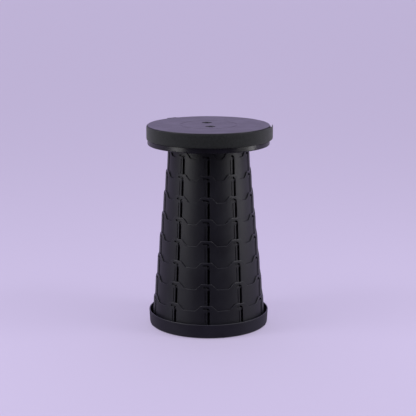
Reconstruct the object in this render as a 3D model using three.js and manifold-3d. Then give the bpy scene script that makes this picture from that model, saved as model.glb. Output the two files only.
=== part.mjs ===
// Collapsible telescopic stool: nine conical rings that nest in a dished base under a round seat.
// Millimetres, +Z up, the floor at z = 0. The stool stands at full height, its rings free to slide.
// The front is -Y. Azimuths are measured from the front, towards +X.
import * as THREE from "three";
import { mergeVertices } from "three/addons/utils/BufferGeometryUtils.js";
import Module from "manifold-3d";

const wasm = await Module();
wasm.setup();

const fullTurn = 2 * Math.PI;
const radians = THREE.MathUtils.degToRad;

// Driving dimensions of the whole stool
const ringCount = 9;
const slotCount = 10;
const blindSlots = 3;
const ringPeak = 62.5;
const ringOverlap = 19;
const travel = ringPeak - ringOverlap;
const seatRadius = 125;
const seatThickness = 3;
const skirtHeight = 39.8;
const footHeight = 1;
const floorThickness = 3;
const facetCount = 30;
const facetLean = radians(2.6);
const flatShare = Math.cos(fullTurn / facetCount / 2);

// Clearances: contactGap parts faces that touch, overrun carries a cut past its face
const contactGap = 0.3;
const overrun = 1;
const weld = 1e-4;

// A ring's wall. At full height a ring stands ringClearance inside the next one out.
const ringWall = 2;
const ringClearance = 0.4;
const draftSlope = Math.tan(radians(2.7));
const radiusStep = ringWall + ringClearance + travel * draftSlope;

// The wavy top edge of a ring: peaks beside each slot and low flats between
const waveDepth = 11;
const peakWidth = 20;
const peakOffset = 4.3;
const slopeAngle = radians(6.8);

// The slot bends at its top into a hook, and a slit frees the strip beside it
const slotWidth = 5;
const slotDrop = 4.5;
const slotTop = ringPeak - slotDrop;
const hookBend = 7;
const hookReach = 9.2;
const hookHeight = 3.6;
const hookNose = 1.6;
const stripNose = 2;
const slitWidth = 1.2;
const slitOffset = 6.9;
const slitFoot = 20;
const slitDrop = 9;
const slitTop = slotTop - slitDrop;
const blindWeb = 0.8;

// The lug that rides in the slot of the next ring out stands on a short band of wall.
// The band's own slot opens above it, and a notch below it.
const lugPlay = 0.3;
const lugWidth = slotWidth - 2 * lugPlay;
const lugDrop = 5.5;
const lugTop = slotTop - lugDrop - travel;
const lugHeight = 3.2;
const lugEase = lugWidth / 2 - lugPlay;
const lugReach = 1.75;
const lugBand = 1;
const slotFoot = lugTop + lugBand;
const notchTop = lugTop - lugHeight - lugBand;

// Base dish
const rimInset = 0.4;
const rimWall = 2.4;
const rimTaper = 1.4;
const baseEdgeRadius = 4;
const rimLip = 0.8;
const nestGap = 4.9;
const catchWidth = 9;
const catchThickness = 3.2;
const catchPostGap = 0.6;

// Seat
const skirtWall = 2.6;
const strapChannelDepth = 0.6;
const seatEdgeRadius = 1.2;
const flangeEdgeRadius = 2;
const seatHoleRadius = 5;
const seatDishRadius = 10.5;
const seatDishDepth = 1;
const seatHoleX = 3.6;
const seatHoleY = 27;
const collarWall = 2;
const seatRibWidth = 2;
const seatRibHeight = 7;
const bossRadius = 4;

// Collar inside the top ring, and the screws that hold it to the seat
const collarDrop = 9.5;
const collarTop = ringPeak - collarDrop;
const collarThickness = 3;
const collarReach = 15;
const screwCount = 6;
const shankRadius = 1.7;
const pilotClearance = 0.3;
const screwHeadRadius = 3.8;
const screwHeadHeight = 2.2;
const screwLength = 11;
const screwInset = 8;

// Rubber feet
const footCount = 6;
const footRadius = 10;
const footRecess = 1;
const footCircleInset = 15;
const firstFootAzimuth = radians(-45);

// Carry strap and its slider
const strapWidth = 27;
const strapThickness = 1.5;
const strapSlack = 1.5;
const strapDrop = 0.4;
const secondTurnRise = 0.8;
const secondTurnStart = radians(55);
const secondTurnEnd = radians(205);
const sliderAzimuth = radians(218);
const sliderWidth = 24;
const sliderBar = 4;
const sliderRail = 1.5;
const sliderThickness = 2.6;

// Heights and radii that follow from the driving dimensions
const baseFloorTop = footHeight + floorThickness;
const nestFoot = baseFloorTop + contactGap;
const seatTop = nestFoot + (ringCount - 1) * travel + ringPeak + contactGap + seatThickness;
const foldedTop = seatTop - (ringCount - 1) * travel;
const rimTop = foldedTop - skirtHeight - contactGap;
const rimRadius = seatRadius - rimInset;
const rimInner = rimRadius - rimWall;
const outerRingRadius = rimInner - nestGap;

// A geometry as a solid whose corners are shared and whose faces point out
function solidFrom(geometry) {
  const bare = new THREE.BufferGeometry();
  bare.setAttribute("position", geometry.getAttribute("position"));
  bare.setIndex(geometry.getIndex());
  const merged = mergeVertices(bare, weld);
  const corners = Array.from(merged.getIndex().array);
  const faces = [];
  for (let i = 0; i < corners.length; i += 3) {
    const [a, b, c] = corners.slice(i, i + 3);
    if (a !== b && b !== c && c !== a) faces.push([a, b, c]);
  }
  const build = (list) => new wasm.Manifold(new wasm.Mesh({
    numProp: 3,
    vertProperties: Float32Array.from(merged.getAttribute("position").array),
    triVerts: Uint32Array.from(list.flat()),
  }));
  const solid = build(faces);
  return solid.volume() > 0 ? solid : build(faces.map(([a, b, c]) => [a, c, b]));
}

// A solid as a named mesh of one colour, without the spare corners that cuts leave in flat faces
function meshFrom(name, solid, finish) {
  const { vertProperties, triVerts, numProp } = solid.asOriginal().simplify(weld).getMesh();
  const geometry = new THREE.BufferGeometry();
  geometry.setAttribute("position", new THREE.BufferAttribute(vertProperties, numProp));
  geometry.setIndex(new THREE.BufferAttribute(Uint32Array.from(triVerts), 1));
  geometry.computeVertexNormals();
  const mesh = new THREE.Mesh(geometry, new THREE.MeshStandardMaterial(finish));
  mesh.name = name;
  return mesh;
}

// A profile of radius and height turned about the stool's axis.
// The facets of all such pieces line up, and one facet takes in a whole slot with its hook.
function turned(profile, segments = facetCount) {
  const points = profile.map(([radius, height]) => new THREE.Vector2(radius, height));
  if (!points[0].equals(points.at(-1))) points.push(points[0].clone());
  const lathe = new THREE.LatheGeometry(points, segments, fullTurn / segments / 2 - facetLean);
  return solidFrom(lathe.rotateX(Math.PI / 2));
}

// A quarter round of a profile, from one angle to another, in a few steps
function round(radius, height, size, from, to, steps = 2) {
  const points = [];
  for (let i = 0; i <= steps; i += 1) {
    const angle = from + ((to - from) * i) / steps;
    points.push([radius + size * Math.cos(angle), height + size * Math.sin(angle)]);
  }
  return points;
}

// A prism that points out from the axis, its outline in sideways distance and height
function radialPrism(outline, inner, outer, azimuth) {
  const settings = { depth: outer - inner, bevelEnabled: false, curveSegments: 1 };
  const prism = new THREE.ExtrudeGeometry(outline, settings);
  prism.translate(0, 0, inner);
  prism.rotateX(Math.PI / 2);
  prism.rotateZ(azimuth);
  return solidFrom(prism);
}

// An upright prism over an outline in plan
function uprightPrism(outline, foot, top) {
  const prism = new THREE.ExtrudeGeometry(outline, { depth: top - foot, bevelEnabled: false });
  return solidFrom(prism.translate(0, 0, foot));
}

// An upright round bar or cutter
function uprightRod(x, y, radius, foot, top, segments = 14) {
  const rod = new THREE.CylinderGeometry(radius, radius, top - foot, segments);
  rod.rotateX(Math.PI / 2);
  rod.translate(x, y, (foot + top) / 2);
  return solidFrom(rod);
}

// The outline of a straight-sided block, from corner to corner
function rectangle(left, foot, right, top) {
  return new THREE.Shape([
    new THREE.Vector2(left, foot),
    new THREE.Vector2(right, foot),
    new THREE.Vector2(right, top),
    new THREE.Vector2(left, top),
  ]);
}

// Evenly spaced azimuths
function azimuths(count, first = 0) {
  return Array.from({ length: count }, (_, i) => first + (fullTurn * i) / count);
}

// A point of the plan at a radius and an azimuth
function planPoint(radius, azimuth) {
  return [radius * Math.sin(azimuth), -radius * Math.cos(azimuth)];
}

// Where ring number 1 (innermost) to ringCount (outermost) stands
function ringPlace(number) {
  const stepsIn = ringCount - number;
  return { footRadius: outerRingRadius - stepsIn * radiusStep, foot: nestFoot + stepsIn * travel };
}

// The slot with its hooked top, seen from outside: it bends to the left
function slotOutline() {
  const half = slotWidth / 2;
  const end = -half - hookReach;
  const hookFloor = slotTop - hookHeight;
  const bend = round(half - hookBend, slotTop - hookBend, hookBend, 0, Math.PI / 2);
  return new THREE.Shape([
    [half, slotFoot],
    ...bend,
    [end + hookNose, slotTop],
    [end, slotTop - hookNose],
    [end, hookFloor],
    [-half - stripNose, hookFloor],
    [-half, hookFloor - stripNose],
    [-half, slotFoot],
  ].map(([across, up]) => new THREE.Vector2(across, up)));
}

// The slot lines at the back are closed, so that no daylight shows through the front ones
function isBlind(index) {
  return Math.abs(index - slotCount / 2) < blindSlots / 2;
}

function openLines() {
  return azimuths(slotCount).filter((_, i) => !isBlind(i));
}

// The dip between two peaks of a ring's edge, about its own middle
function dipOutline(topRadius) {
  const sector = fullTurn / slotCount;
  const peakAngle = peakWidth / topRadius;
  const openHalf = topRadius * Math.sin((sector - peakAngle) / 2);
  const floorHalf = topRadius * Math.sin((sector - peakAngle) / 2 - slopeAngle);
  const floor = ringPeak - waveDepth;
  const flare = ((openHalf - floorHalf) * overrun) / waveDepth;
  return new THREE.Shape([
    new THREE.Vector2(-floorHalf, floor),
    new THREE.Vector2(floorHalf, floor),
    new THREE.Vector2(openHalf + flare, ringPeak + overrun),
    new THREE.Vector2(-openHalf - flare, ringPeak + overrun),
  ]);
}

// The lug's outline, with its upper corners eased to enter the hook
function lugOutline() {
  const half = lugWidth / 2;
  return new THREE.Shape([
    new THREE.Vector2(-half, lugTop - lugHeight),
    new THREE.Vector2(half, lugTop - lugHeight),
    new THREE.Vector2(half, lugTop - lugEase),
    new THREE.Vector2(half - lugEase, lugTop),
    new THREE.Vector2(lugEase - half, lugTop),
    new THREE.Vector2(-half, lugTop - lugEase),
  ]);
}

// The flat face of a ring's wall where its lugs stand
function lugFace(footRadius) {
  return (footRadius - (lugTop - lugHeight / 2) * draftSlope) * flatShare;
}

// A plain conical shell from its foot radius up to the peaks
function ringShell(footRadius) {
  const topRadius = footRadius - ringPeak * draftSlope;
  return turned([
    [footRadius - ringWall, 0],
    [footRadius, 0],
    [topRadius, ringPeak],
    [topRadius - ringWall, ringPeak],
  ]);
}

// Lugs round a ring's foot, on every open slot line
function ringLugs(footRadius) {
  const face = lugFace(footRadius);
  return openLines().map((line) => radialPrism(lugOutline(), face - ringWall / 2, face + lugReach, line));
}

// Cuts reach from inside a ring's wall to outside it
function cutReach(footRadius) {
  const topRadius = footRadius - ringPeak * draftSlope;
  return [(topRadius - ringWall) * flatShare - overrun, footRadius + overrun];
}

// Notches below the lugs
function lugNotches(footRadius) {
  const [near, far] = cutReach(footRadius);
  const notch = rectangle(-slotWidth / 2, -overrun, slotWidth / 2, notchTop);
  return openLines().map((line) => radialPrism(notch, near, far, line));
}

// The cone that a blind slot stops at, one web's thickness outside the wall's inner face
function webCone(footRadius) {
  const webRadius = footRadius - ringWall + blindWeb;
  return turned([
    [0, 0],
    [webRadius, 0],
    [webRadius - ringPeak * draftSlope, ringPeak],
    [0, ringPeak],
  ]);
}

// Everything cut from a slotted ring: dips, slots, slits and notches. A thin web closes the blind slots.
function ringCuts(footRadius) {
  const topRadius = footRadius - ringPeak * draftSlope;
  const [near, far] = cutReach(footRadius);
  const half = slitWidth / 2;
  const slit = rectangle(-slitOffset - half, slitFoot, -slitOffset + half, slitTop);
  const cuts = lugNotches(footRadius);
  azimuths(slotCount).forEach((line, i) => {
    const slot = radialPrism(slotOutline(), near, far, line);
    cuts.push(isBlind(i) ? slot.subtract(webCone(footRadius)) : slot);
    if (!isBlind(i)) cuts.push(radialPrism(slit, near, far, line));
    const dipLine = line + Math.PI / slotCount - peakOffset / topRadius;
    cuts.push(radialPrism(dipOutline(topRadius), near - overrun, far, dipLine));
  });
  return cuts;
}

function slottedRing(number) {
  const { footRadius } = ringPlace(number);
  const shell = ringShell(footRadius).subtract(wasm.Manifold.union(ringCuts(footRadius)));
  return wasm.Manifold.union([shell, ...ringLugs(footRadius)]);
}

// The radius at which the screws pass through the top ring's collar
function screwCircle() {
  return ringPlace(1).footRadius - ringWall - collarTop * draftSlope - screwInset;
}

// Windows above the top ring's lugs, where the next ring's slots end
function lugWindows(footRadius) {
  const [near, far] = cutReach(footRadius);
  const window = rectangle(-slotWidth / 2, slotFoot, slotWidth / 2, slotTop - travel);
  return openLines().map((line) => radialPrism(window, near, far, line));
}

// The innermost ring has no ring inside it, so it has no slots, but a collar for the screws
function topRing() {
  const { footRadius } = ringPlace(1);
  const collarOuter = footRadius - ringWall / 2 - collarTop * draftSlope;
  const collar = turned([
    [collarOuter - ringWall / 2 - collarReach, collarTop - collarThickness],
    [collarOuter, collarTop - collarThickness],
    [collarOuter, collarTop],
    [collarOuter - ringWall / 2 - collarReach, collarTop],
  ]);
  const holes = azimuths(screwCount).map((line) => {
    const [x, y] = planPoint(screwCircle(), line);
    const foot = collarTop - collarThickness - overrun;
    return uprightRod(x, y, shankRadius + pilotClearance, foot, collarTop + overrun, 8);
  });
  const ring = wasm.Manifold.union([ringShell(footRadius), collar, ...ringLugs(footRadius)]);
  const openings = [...holes, ...lugNotches(footRadius), ...lugWindows(footRadius)];
  return ring.subtract(wasm.Manifold.union(openings));
}

// A hooked catch on the rim's inner wall, over one lug of the outermost ring
function rimCatch(line) {
  const postFace = lugFace(outerRingRadius) + lugReach + catchPostGap;
  const noseFoot = nestFoot + lugTop + contactGap;
  const noseDraft = (noseFoot - nestFoot) * draftSlope;
  const noseFace = (outerRingRadius - noseDraft) * flatShare + ringClearance;
  const root = (rimInner + rimWall / 2) * flatShare;
  const postFoot = baseFloorTop - floorThickness / 2;
  const side = new THREE.Shape([
    new THREE.Vector2(postFace, postFoot),
    new THREE.Vector2(root, postFoot),
    new THREE.Vector2(root, noseFoot + catchThickness),
    new THREE.Vector2(noseFace, noseFoot + catchThickness),
    new THREE.Vector2(noseFace, noseFoot),
    new THREE.Vector2(postFace, noseFoot),
  ]);
  const hook = new THREE.ExtrudeGeometry(side, { depth: catchWidth, bevelEnabled: false });
  hook.translate(0, 0, -catchWidth / 2);
  hook.rotateX(Math.PI / 2);
  hook.rotateZ(line - Math.PI / 2);
  return solidFrom(hook);
}

// Feet stand on a circle inside the base's rounded edge
function footPlaces() {
  const circle = rimRadius - rimTaper - footCircleInset;
  return azimuths(footCount, firstFootAzimuth).map((line) => planPoint(circle, line));
}

function baseDish() {
  const edgeCentre = rimRadius - rimTaper - baseEdgeRadius;
  const dish = turned([
    [0, footHeight],
    ...round(edgeCentre, footHeight + baseEdgeRadius, baseEdgeRadius, -Math.PI / 2, 0),
    [rimRadius, rimTop - rimLip],
    [rimRadius - rimLip / 2, rimTop],
    [rimInner + rimLip / 2, rimTop],
    [rimInner, rimTop - rimLip],
    [rimInner, baseFloorTop],
    [0, baseFloorTop],
  ]);
  const catches = openLines().map(rimCatch);
  const recessTop = footHeight + footRecess + contactGap;
  const recesses = footPlaces().map(([x, y]) => {
    return uprightRod(x, y, footRadius + contactGap, footHeight - overrun, recessTop);
  });
  return wasm.Manifold.union([dish, ...catches]).subtract(wasm.Manifold.union(recesses));
}

// Posts under the seat that the screws bite into
function seatBosses(underside) {
  const foot = ringPlace(1).foot + collarTop + contactGap;
  return azimuths(screwCount).map((line) => {
    const [x, y] = planPoint(screwCircle(), line);
    const post = uprightRod(x, y, bossRadius, foot, underside + seatThickness / 2);
    const pilot = uprightRod(x, y, shankRadius + pilotClearance, foot - overrun, underside, 8);
    return { post, pilot };
  });
}

function seatCap() {
  const underside = seatTop - seatThickness;
  const skirtFoot = seatTop - skirtHeight;
  const channelRadius = seatRadius - strapChannelDepth;
  const channelFoot = seatTop - seatEdgeRadius - strapDrop - strapWidth - strapDrop;
  const inner = seatRadius - skirtWall;
  const cap = turned([
    [0, seatTop],
    ...round(seatRadius - seatEdgeRadius, seatTop - seatEdgeRadius, seatEdgeRadius, Math.PI / 2, 0),
    [channelRadius, seatTop - seatEdgeRadius - strapChannelDepth],
    [channelRadius, channelFoot],
    [seatRadius, channelFoot - strapChannelDepth],
    ...round(seatRadius - flangeEdgeRadius, skirtFoot + flangeEdgeRadius, flangeEdgeRadius, 0, -Math.PI / 3),
    [inner, skirtFoot],
    [inner, underside],
    [0, underside],
  ]);
  const bosses = seatBosses(underside);
  const ribEnd = screwCircle();
  const ribFoot = underside - seatRibHeight;
  const ribPlan = rectangle(-seatRibWidth / 2, -ribEnd, seatRibWidth / 2, ribEnd);
  const ribs = azimuths(screwCount).slice(0, screwCount / 2).map((line) => {
    const rib = uprightPrism(ribPlan, ribFoot, underside + overrun);
    return rib.rotate([0, 0, THREE.MathUtils.radToDeg(line)]);
  });
  const holePlaces = [[-seatHoleX, seatHoleY], [seatHoleX, -seatHoleY]];
  const collars = holePlaces.map(([x, y]) => {
    return uprightRod(x, y, seatHoleRadius + collarWall, ribFoot, underside + overrun);
  });
  const holes = holePlaces.flatMap(([x, y]) => [
    uprightRod(x, y, seatHoleRadius, ribFoot - overrun, seatTop + overrun),
    uprightRod(x, y, seatDishRadius, seatTop - seatDishDepth, seatTop + overrun, 16),
  ]);
  const body = wasm.Manifold.union([cap, ...ribs, ...collars, ...bosses.map(({ post }) => post)]);
  return body.subtract(wasm.Manifold.union([...holes, ...bosses.map(({ pilot }) => pilot)]));
}

// A screw whose head bears on the underside of the collar
function seatScrew(line) {
  const [x, y] = planPoint(screwCircle(), line);
  const seat = ringPlace(1).foot + collarTop - collarThickness - contactGap;
  const screw = turned([
    [0, seat - screwHeadHeight],
    [screwHeadRadius, seat - screwHeadHeight],
    [screwHeadRadius, seat],
    [shankRadius, seat],
    [shankRadius, seat + screwLength],
    [0, seat + screwLength],
  ], 8);
  return screw.translate([x, y, 0]);
}

function rubberFoot([x, y]) {
  return uprightRod(x, y, footRadius, 0, footHeight + footRecess);
}

// A band of webbing in plan: a ring about the strap's own centre, or a stretch of it
function strapBand(inner, from, to, steps) {
  const side = (radius, a, b) => Array.from({ length: steps + 1 }, (_, i) => {
    const [x, y] = planPoint(radius, a + ((b - a) * i) / steps);
    return new THREE.Vector2(x, y);
  });
  return new THREE.Shape([...side(inner + strapThickness, from, to), ...side(inner, to, from)]);
}

// The strap lies in the seat's channel at the left and stands off it at the right.
// Its loose end makes a second turn over the right side and the back.
function carryStrap() {
  const channelRadius = seatRadius - strapChannelDepth;
  const inner = channelRadius + contactGap + strapSlack;
  const top = seatTop - seatEdgeRadius - strapDrop;
  const foot = top - strapWidth;
  const outer = inner + strapThickness;
  const first = turned([[inner, foot], [outer, foot], [outer, top], [inner, top]]);
  const overlap = strapThickness / 4;
  const arc = secondTurnEnd - secondTurnStart;
  const steps = Math.round((arc / fullTurn) * facetCount);
  const outline = strapBand(outer - overlap, secondTurnStart, secondTurnEnd, steps);
  const second = uprightPrism(outline, foot + secondTurnRise, top + secondTurnRise);
  return wasm.Manifold.union([first, second]).translate([strapSlack, 0, 0]);
}

// A three-bar slider on the outside of the strap, where the second turn ends
function strapSlider() {
  const reach = seatRadius - strapChannelDepth + contactGap + strapSlack + strapThickness + contactGap;
  const middle = seatTop - seatEdgeRadius - strapDrop - strapWidth / 2;
  const halfWidth = sliderWidth / 2;
  const halfHeight = strapWidth / 2 + sliderRail;
  const plate = rectangle(-halfWidth, middle - halfHeight, halfWidth, middle + halfHeight);
  const windowWidth = (sliderWidth - 3 * sliderBar) / 2;
  const windows = [-1, 1].map((side) => {
    const centre = (side * (sliderBar + windowWidth)) / 2;
    const [left, right] = [centre - windowWidth / 2, centre + windowWidth / 2];
    const window = rectangle(left, middle - strapWidth / 2, right, middle + strapWidth / 2);
    return radialPrism(window, reach - overrun, reach + sliderThickness + overrun, sliderAzimuth);
  });
  const slider = radialPrism(plate, reach, reach + sliderThickness, sliderAzimuth);
  return slider.subtract(wasm.Manifold.union(windows)).translate([strapSlack, 0, 0]);
}

// Finishes
const blackPlastic = { color: 0x1b1a20, roughness: 0.45, metalness: 0 };
const seatPlastic = { color: 0x26242c, roughness: 0.4, metalness: 0 };
const webbing = { color: 0x262a28, roughness: 0.95, metalness: 0 };
const rubber = { color: 0x141414, roughness: 0.85, metalness: 0 };
const zincSteel = { color: 0x9a9c9e, roughness: 0.35, metalness: 1 };

// Assembly
const stool = new THREE.Group();
stool.add(meshFrom("seat_cap", seatCap(), seatPlastic));
for (let number = 1; number <= ringCount; number += 1) {
  const ring = meshFrom(`ring_${number}`, number === 1 ? topRing() : slottedRing(number), blackPlastic);
  ring.position.z = ringPlace(number).foot;
  stool.add(ring);
}
stool.add(meshFrom("base_dish", baseDish(), blackPlastic));
footPlaces().forEach((place, i) => {
  stool.add(meshFrom(`foot_${i + 1}`, rubberFoot(place), rubber));
});
azimuths(screwCount).forEach((line, i) => {
  stool.add(meshFrom(`seat_screw_${i + 1}`, seatScrew(line), zincSteel));
});
stool.add(meshFrom("carry_strap", carryStrap(), webbing));
stool.add(meshFrom("strap_slider", strapSlider(), blackPlastic));

export default stool;
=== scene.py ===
"""A collapsible telescopic stool: nine nesting rings between a shallow base and a round seat with a webbing strap."""
import logging
import math
from dataclasses import dataclass
from enum import Enum
from typing import Callable, Iterable, Sequence

import bmesh
import bpy
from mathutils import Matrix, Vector


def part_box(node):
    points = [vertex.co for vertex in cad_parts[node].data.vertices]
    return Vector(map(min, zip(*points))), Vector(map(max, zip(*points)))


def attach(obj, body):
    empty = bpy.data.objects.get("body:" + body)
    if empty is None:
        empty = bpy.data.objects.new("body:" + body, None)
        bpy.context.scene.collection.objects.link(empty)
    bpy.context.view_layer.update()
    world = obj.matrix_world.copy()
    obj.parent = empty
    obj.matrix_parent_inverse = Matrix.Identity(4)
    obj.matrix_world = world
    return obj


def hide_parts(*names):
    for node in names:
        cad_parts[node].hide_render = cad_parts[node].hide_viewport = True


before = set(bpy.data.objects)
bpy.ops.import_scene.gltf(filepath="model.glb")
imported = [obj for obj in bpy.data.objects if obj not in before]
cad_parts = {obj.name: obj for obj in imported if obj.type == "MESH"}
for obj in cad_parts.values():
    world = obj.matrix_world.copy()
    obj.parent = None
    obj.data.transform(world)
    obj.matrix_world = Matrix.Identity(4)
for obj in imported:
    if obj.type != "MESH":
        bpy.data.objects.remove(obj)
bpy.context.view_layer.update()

LOG = logging.getLogger("stool")

MM = 0.001
FULL_TURN = 2 * math.pi
SOFT_CREASE = math.radians(38)

Point = tuple[float, float]
Outline = list[Point]
Placing = Callable[[float, float, float], Vector]
Tree = bpy.types.NodeTree
Socket = bpy.types.NodeSocket
Material = bpy.types.Material
Shape = bpy.types.Object
BMesh = bmesh.types.BMesh


class Body(Enum):
    """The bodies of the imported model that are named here. The middle rings ride on bodies named after them."""

    BASE = "base"
    SEAT = "seat"


class Slot(Enum):
    """The material slots of the record."""

    SEAT = "seat_plastic"
    RING = "ring_plastic"
    BASE = "base_plastic"
    WEBBING = "webbing"
    RUBBER = "rubber"
    SCREW = "screw_steel"


class Join(Enum):
    """What a boolean does with its tools."""

    CUT = "DIFFERENCE"
    ADD = "UNION"


# Colours and nodes


def linear(hex_colour: str) -> tuple[float, float, float, float]:
    """Turns an sRGB hex colour into linear light.

    Args:
        hex_colour: Six hex digits after a hash sign.

    Returns:
        Red, green, blue and an alpha of one.
    """
    shares = [int(hex_colour[i:i + 2], 16) / 255 for i in (1, 3, 5)]
    red, green, blue = (s / 12.92 if s <= 0.04045 else ((s + 0.055) / 1.055) ** 2.4 for s in shares)
    return red, green, blue, 1.0


def add_node(tree: Tree, kind: str, inputs: dict | None = None, **settings) -> bpy.types.Node:
    """Adds a node with its settings and its inputs.

    Args:
        tree: The tree that gets the node.
        kind: The node's type name.
        inputs: Socket names or indices, each with a constant or with the output that it is linked to.
        settings: The node's own properties.

    Returns:
        The new node.
    """
    node = tree.nodes.new(kind)
    for name, value in settings.items():
        setattr(node, name, value)
    for name, value in (inputs or {}).items():
        if isinstance(value, Socket):
            tree.links.new(value, node.inputs[name])
        else:
            node.inputs[name].default_value = value
    return node


def worked_out(tree: Tree, known: dict[str, Socket], steps: Sequence[tuple]) -> dict[str, Socket]:
    """Adds a piece of arithmetic, step by step.

    Args:
        tree: The tree that gets the nodes.
        known: The values to start from, by name.
        steps: For each step the name of its result, the operation, and its terms, which are names or numbers.

    Returns:
        Every value by its name, with the known ones.
    """
    values = dict(known)
    for result, operation, *terms in steps:
        inputs = {i: values.get(term, term) for i, term in enumerate(terms)}
        values[result] = add_node(tree, "ShaderNodeMath", inputs, operation=operation).outputs[0]
    return values


def two_toned(tree: Tree, pattern: Socket, span: Point, low: str, high: str) -> Socket:
    """Gives a pattern two colours.

    Args:
        tree: The tree that gets the nodes.
        pattern: The pattern's value.
        span: The values between which one colour turns into the other.
        low: The hex colour below the span.
        high: The hex colour above it.

    Returns:
        The colour.
    """
    share = add_node(tree, "ShaderNodeMapRange", {"Value": pattern, "From Min": span[0], "From Max": span[1]})
    return add_node(tree, "ShaderNodeMix", {
        0: share.outputs[0], 6: linear(low), 7: linear(high)}, data_type="RGBA").outputs[2]


@dataclass(frozen=True)
class Finish:
    """What every finish has: a name, and a material with one surface."""

    name: str

    def surface(self, tree: Tree) -> dict:
        """Adds the patterns of the finish.

        Args:
            tree: The material's tree.

        Returns:
            What the shader's inputs get, by their names.
        """
        raise NotImplementedError

    def material(self) -> Material:
        """Builds the material.

        Returns:
            The material, named after the finish.
        """
        material = bpy.data.materials.new(self.name)
        material.use_nodes = True
        tree = material.node_tree
        tree.nodes.clear()
        shader = add_node(tree, "ShaderNodeBsdfPrincipled", self.surface(tree))
        add_node(tree, "ShaderNodeOutputMaterial", {"Surface": shader.outputs["BSDF"]})
        return material


@dataclass(frozen=True)
class MouldedPlastic(Finish):
    """Injection-moulded polypropylene with a spark-eroded grain.

    The grain breaks up reflections into a soft satin sheen, and slow changes in gloss show where it is rubbed.
    """

    colour: str
    rubbed_colour: str
    roughness: float
    # Grain width and depth in millimetres. The real grain is about 0.15 mm wide and would not show.
    grain: float = 0.7
    grain_depth: float = 0.035
    # How far the gloss wanders, and over what distance in millimetres
    gloss_range: float = 0.08
    gloss_patch: float = 38.0
    # How far a ring's top edge takes a lighter colour, partly rubbed wear and partly a painted highlight, and the
    # smoother roughness of rubbed plastic
    rim_wear_and_highlight: float = 0.0
    worn_and_highlight_colour: str = "#28272f"
    worn_roughness: float = 0.3
    # The walls inside a slot get painted shade: a near-black colour and a weak reflection. They also get a coarse
    # roughness, which the mould's side action leaves
    slot_painted_shade_colour: str = "#08080a"
    cut_roughness: float = 0.8
    slot_painted_dim_shine: float = 0.1
    # Below this height in millimetres the mould is polished, and the plastic has this roughness
    polished_below: float = 0.0
    polished_roughness: float = 0.25
    # How strongly the plain plastic mirrors
    plain_shine: float = 0.5

    def surface(self, tree: Tree) -> dict:
        """The grain, the wandering gloss, the polished places, the rim's rubbed wear with its painted highlight, and
        the painted shade inside cuts.

        Args:
            tree: The material's tree.

        Returns:
            What the shader's inputs get.
        """
        place = add_node(tree, "ShaderNodeTexCoord").outputs["Object"]
        patches = add_node(tree, "ShaderNodeTexNoise", {
            "Vector": place, "Scale": 1 / (self.gloss_patch * MM), "Detail": 3.0, "Roughness": 0.55}).outputs["Fac"]
        grain = add_node(tree, "ShaderNodeTexNoise", {
            "Vector": place, "Scale": 1 / (self.grain * MM), "Detail": 2.0, "Roughness": 0.6}).outputs["Fac"]
        roughness = add_node(tree, "ShaderNodeMapRange", {
            "Value": patches, "From Min": 0.3, "From Max": 0.7, "To Min": self.roughness - self.gloss_range / 2,
            "To Max": self.roughness + self.gloss_range / 2}).outputs["Result"]
        if self.polished_below:
            height = add_node(tree, "ShaderNodeSeparateXYZ", {0: place}).outputs["Z"]
            polished = worked_out(tree, {"height": height}, [
                ("polished", "LESS_THAN", "height", self.polished_below * MM)])["polished"]
            roughness = add_node(tree, "ShaderNodeMix", {
                0: polished, 2: roughness, 3: self.polished_roughness}).outputs[0]
        colour = two_toned(tree, patches, (0.35, 0.75), self.colour, self.rubbed_colour)
        shine: Socket | float = self.plain_shine
        if self.rim_wear_and_highlight:
            # The rim's lighter colour is rubbed wear and a painted highlight; the near-black inside a cut is painted
            # shade
            edge = add_node(tree, "ShaderNodeAttribute", attribute_name=RingTree.WEAR_HIGHLIGHT_AND_SHADE_MARK).outputs["Fac"]
            for share, other_colour, other_roughness, other_shine in (
                    (self.rim_wear_and_highlight, self.worn_and_highlight_colour, self.worn_roughness, self.plain_shine),
                    (-1.0, self.slot_painted_shade_colour, self.cut_roughness, self.slot_painted_dim_shine)):
                here = worked_out(tree, {"edge": edge}, [
                    ("marked", "MULTIPLY", "edge", share), ("here", "MAXIMUM", "marked", 0.0)])["here"]
                colour = add_node(tree, "ShaderNodeMix", {
                    0: here, 6: colour, 7: linear(other_colour)}, data_type="RGBA").outputs[2]
                roughness, shine = (
                    add_node(tree, "ShaderNodeMix", {0: here, 2: plain, 3: other}).outputs[0]
                    for plain, other in ((roughness, other_roughness), (shine, other_shine)))
        bump = add_node(tree, "ShaderNodeBump", {"Height": grain, "Distance": self.grain_depth * MM, "Strength": 1.0})
        return {"Base Color": colour, "Roughness": roughness, "IOR": 1.49, "Specular IOR Level": shine,
                "Normal": bump.outputs["Normal"]}


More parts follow.
